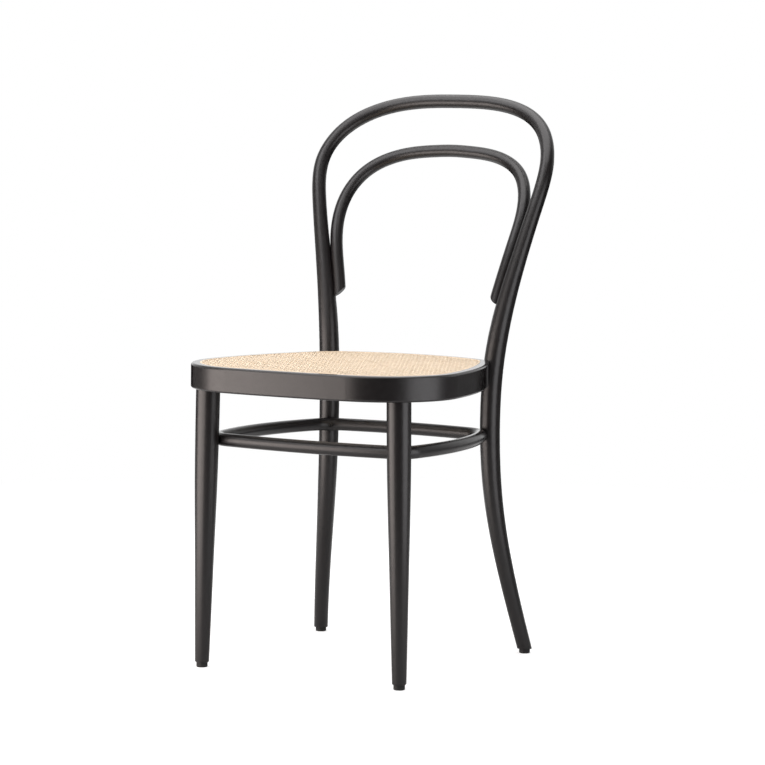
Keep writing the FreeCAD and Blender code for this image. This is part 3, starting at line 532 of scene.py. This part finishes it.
    # a split of cane: flat, with a soft crown
    curve = place(tree, "GeometryNodeMeshToCurve", Mesh=kept.outputs[0])
    curve = place(tree, "GeometryNodeSetCurveNormal", {"mode": "Z_UP"}, Curve=curve.outputs[0])
    circle = place(tree, "GeometryNodeCurvePrimitiveCircle", Resolution=6, Radius=0.5)
    section = place(tree, "GeometryNodeTransform", Geometry=circle.outputs[0],
                    Scale=vector(tree, given["Strand Width"], given["Strand Thickness"], 1.0))
    section = storeOnPoints(tree, section.outputs[0], "acrossStrand", spotX)
    skin = place(tree, "GeometryNodeCurveToMesh", Curve=curve.outputs[0], Profile_Curve=section,
                 Fill_Caps=True)
    apart = calc(tree, "MULTIPLY", readFromPoints(tree, "strandTint"), given["Pattern Gap"])
    flow = vector(tree, readFromPoints(tree, "acrossStrand"), apart, readFromPoints(tree, "along"))
    marked = storeOnPoints(tree, skin.outputs[0], "woodFlow", flow, "FLOAT_VECTOR")
    smooth = place(tree, "GeometryNodeSetShadeSmooth", Geometry=marked)
    real = place(tree, "GeometryNodeRealizeInstances", Geometry=smooth.outputs[0])
    finish = place(tree, "GeometryNodeSetMaterial", Geometry=real.outputs[0], Material=given["Finish"])
    tree.links.new(finish.outputs[0], tree.nodes.new("NodeGroupOutput").inputs[0])
    return tree


def applied(name, mesh, tree, values):  # a plain object from what the tree makes of the mesh
    holder = addObject(name + "Maker", mesh)
    modifier = holder.modifiers.new("maker", "NODES")
    modifier.node_group = tree
    sockets = {item.name: item.identifier for item in tree.interface.items_tree if item.in_out == "INPUT"}
    for key, value in values.items():
        modifier[sockets[key]] = value
    graph = bpy.context.evaluated_depsgraph_get()
    made = bpy.data.meshes.new_from_object(holder.evaluated_get(graph))
    made.name = name
    bpy.data.objects.remove(holder)
    return addObject(name, made)


openingMesh = bpy.data.meshes.new("seatOpening")
openingMesh.from_pydata(ringLine(splineOutline, 0.0), [], [list(range(len(splineOutline)))])
caneTree = weaveTree()
pitch = weave["pitch"]
families = {
    "caneFrontToBack": {"Turn": pi / 2, "Crossing Axis": (0.0, 1.0, 0.0), "pair": -1, "diagonal": 0},
    "caneSideToSide": {"Turn": 0.0, "Crossing Axis": (1.0, 0.0, 0.0), "pair": -1, "diagonal": 0},
    "caneRightRising": {"Turn": pi / 4, "Crossing Axis": (1.0, 0.0, 0.0), "pair": 0, "diagonal": -1},
    "caneLeftRising": {"Turn": -pi / 4, "Crossing Axis": (1.0, 0.0, 0.0), "pair": 0, "diagonal": 1},
}
for number, (name, family) in enumerate(families.items()):
    paired = family["pair"] != 0
    step = pitch / 8 if paired else pitch * sqrt(2) / 8
    spacing = pitch if paired else pitch / sqrt(2)
    piece = applied(name, openingMesh, caneTree, {
        "Turn": family["Turn"],
        "Lines": 2 * round(weave["reach"] / spacing),
        "Line Spacing": spacing,
        "Per Line": 2 if paired else 1,
        "Pair Spread": weave["pairSpread"],
        "Points": 2 * round(weave["reach"] / step) + 1,
        "Step": step,
        "Crowding": weave["crowding"] if paired else 0.0,
        "Pitch": pitch,
        "Crossing Axis": family["Crossing Axis"],
        "Pair Lift": weave["pairLift"] * family["pair"],
        "Diagonal Lift": weave["diagonalLift"] * family["diagonal"],
        "Strand Width": weave["strandWidth"] if paired else weave["diagonalWidth"],
        "Strand Thickness": weave["strandThickness"],
        "Centre": weave["centre"],
        "Tuck Width": weave["tuckWidth"],
        "Tuck Depth": weave["tuckDepth"],
        "Seed": weave["firstSeed"] + number,
        "Pattern Gap": weave["patternGap"],
        "Finish": caneMaterial,
    })
    finishPiece(piece, "cane_panel")
    print(name, len(piece.data.polygons), "faces")


# Fittings keep their solids and get their own finishes

fittings = {
    steelMaterial: ["glide_nails", "leg_ring_screws", "leg_lock_screws", "arch_screws", "seat_bolts",
                    "seat_bolt_washers", "seat_bolt_nuts"],
    glideMaterial: ["glide_front_right", "glide_front_left", "glide_rear_right", "glide_rear_left"],
}
for material, names in fittings.items():
    for name in names:
        for slot in nodes[name].material_slots:
            slot.material = material
finishWood("arch_screw_plugs", "screwPlugs", paths["back_loop"], lacquerMaterial)
print("fittings finished")


# Floor, backdrop and lights

studio = {
    "floorSize": 60.0,
    "paperColour": 0.50,
    "paintedPoolEdge": (0.9, 2.2),  # painted pool of light: the floor's colour fades out softly between these distances from the chair
    "floorLift": (0.66, 1.0),  # added where the background shows, beside the chair and far from it
    "liftReach": (0.35, 1.3),
    "mirroredFrom": (0.2, 0.9),  # the finish mirrors the white paper from this far behind the chair, only inside the painted pool of light
    "darkStudio": 0.055,
    "backdropWay": (-0.49, 0.87, 0.0),
    "backdropEdge": (0.05, 0.90),  # cosines of the angles at which the white backdrop starts and is full
    "lamps": {
        "leftPanel": {
            "at": (-0.93, -0.77, 0.34), "to": (-0.73, 0.21, 0.34), "size": (1.0, 0.68),
            "radiance": 4.05, "colour": (1.0, 0.895, 0.845),
        },
        "leftPanelEnd": {
            "at": (-0.265, -0.905, 0.34), "to": (-0.065, 0.075, 0.34), "size": (0.355, 0.68),
            "radiance": 3.0, "colour": (1.0, 0.895, 0.845),
        },
        "rightCard": {
            "at": (0.80, -0.18, 0.46), "to": (0.0, -0.18, 0.46), "size": (0.60, 0.72),
            "radiance": 1.85, "colour": (1.0, 0.98, 1.0),
        },
        "overhead": {
            "at": (-0.06, 0.02, 2.30), "to": (-0.06, 0.01, 0.45), "size": (2.5, 2.3),
            "radiance": 2.5, "colour": (1.0, 0.98, 0.985),
        },
        "highLeft": {
            "at": (-1.0, -1.5, 2.15), "to": (-0.1, 0.1, 0.7), "size": (2.2, 0.9),
            "radiance": 2.6, "colour": (1.0, 0.98, 1.0),
        },
        "frontScrim": {
            "at": (-0.10, -2.40, 1.75), "to": (0.0, 0.0, 0.50), "size": (3.6, 1.3),
            "radiance": 0.75, "colour": (1.0, 0.98, 0.99),
        },
    },
}


def backdropLevel(tree, way):  # how much of the white backdrop lies in a direction
    behind = calcVector(tree, "DOT_PRODUCT", way, studio["backdropWay"])
    return spread(tree, behind, *studio["backdropEdge"], studio["darkStudio"], 1.0)


def makeFloor():
    half = studio["floorSize"] / 2
    mesh = bpy.data.meshes.new("studioFloor")
    corners = [(-half, -half, 0), (half, -half, 0), (half, half, 0), (-half, half, 0)]
    mesh.from_pydata(corners, [], [(0, 1, 2, 3)])
    floor = addObject("studioFloor", mesh)
    material, tree, shader = newMaterial("studioFloor")
    tree.nodes.remove(shader)
    where = place(tree, "ShaderNodeTexCoord").outputs["Object"]
    away = calcVector(tree, "LENGTH", where)
    # painted pool of light: the floor's colour is full near the chair and fades to black further out, where
    # the lamps' light would fall off
    paintedLightPool = spread(tree, away, *studio["paintedPoolEdge"], 1.0, 0.0)
    tone = calc(tree, "MULTIPLY", paintedLightPool, studio["paperColour"])
    diffuse = place(tree, "ShaderNodeBsdfDiffuse", Color=vector(tree, tone, tone, tone))
    path = place(tree, "ShaderNodeLightPath").outputs
    mirrored = calc(tree, "MAXIMUM", path["Is Glossy Ray"], path["Is Transmission Ray"])
    behind = calcVector(tree, "DOT_PRODUCT", where, studio["backdropWay"])
    # the floor's glow in reflections is cut off by the same painted pool of light
    paintedPoolBehind = calc(tree, "MULTIPLY", paintedLightPool, spread(tree, behind, *studio["mirroredFrom"], 0.0, 1.0))
    seen = calc(tree, "MAXIMUM", path["Is Camera Ray"], calc(tree, "MULTIPLY", mirrored, paintedPoolBehind))
    lift = spread(tree, away, *studio["liftReach"], *studio["floorLift"])
    glow = place(tree, "ShaderNodeEmission", Strength=calc(tree, "MULTIPLY", seen, lift))
    both = place(tree, "ShaderNodeAddShader")
    tree.links.new(diffuse.outputs[0], both.inputs[0])
    tree.links.new(glow.outputs[0], both.inputs[1])
    tree.links.new(both.outputs[0], tree.nodes["Material Output"].inputs["Surface"])
    mesh.materials.append(material)


def makeWorld():
    world = bpy.data.worlds.new("studio")
    world.use_nodes = True
    tree = world.node_tree
    backdrop = tree.nodes["Background"]
    level = backdropLevel(tree, place(tree, "ShaderNodeTexCoord").outputs["Generated"])
    camera = place(tree, "ShaderNodeLightPath").outputs["Is Camera Ray"]
    strength = place(tree, "ShaderNodeMix", {"data_type": "FLOAT"}, Factor=camera)
    feed(tree, strength.inputs[2], level)
    feed(tree, strength.inputs[3], 1.0)
    backdrop.inputs["Color"].default_value = (1, 1, 1, 1)
    tree.links.new(strength.outputs[0], backdrop.inputs["Strength"])
    bpy.context.scene.world = world


def addLamps():
    for name, lamp in studio["lamps"].items():
        light = bpy.data.lights.new(name, "AREA")
        light.shape = "RECTANGLE"
        light.size, light.size_y = lamp["size"]
        light.energy = lamp["radiance"] * pi * light.size * light.size_y
        light.color = lamp["colour"]
        holder = addObject(name, light)
        holder.location = lamp["at"]
        holder.visible_camera = False
        holder.rotation_euler = (Vector(lamp["to"]) - Vector(lamp["at"])).to_track_quat("-Z", "Y").to_euler()


makeFloor()
makeWorld()
addLamps()
bpy.context.scene.view_settings.view_transform = "Standard"


# Camera, as the photograph was taken

view = {
    "at": (2.3117, -4.1045, 0.8410),
    "turn": 29.21,
    "down": 5.18,
    "roll": 0.769,
    "focal": 149.46,
    "film": 36.0,
}


def rotation(degrees, axis):
    return Matrix.Rotation(radians(degrees), 4, axis)


cameraData = bpy.data.cameras.new("camera")
cameraData.sensor_width = view["film"]
cameraData.lens = view["focal"]
camera = addObject("camera", cameraData)
aim = rotation(view["turn"], "Z") @ rotation(90 - view["down"], "X") @ rotation(view["roll"], "Z")
camera.matrix_world = Matrix.Translation(view["at"]) @ aim
bpy.context.scene.camera = camera
print("camera and lights set")
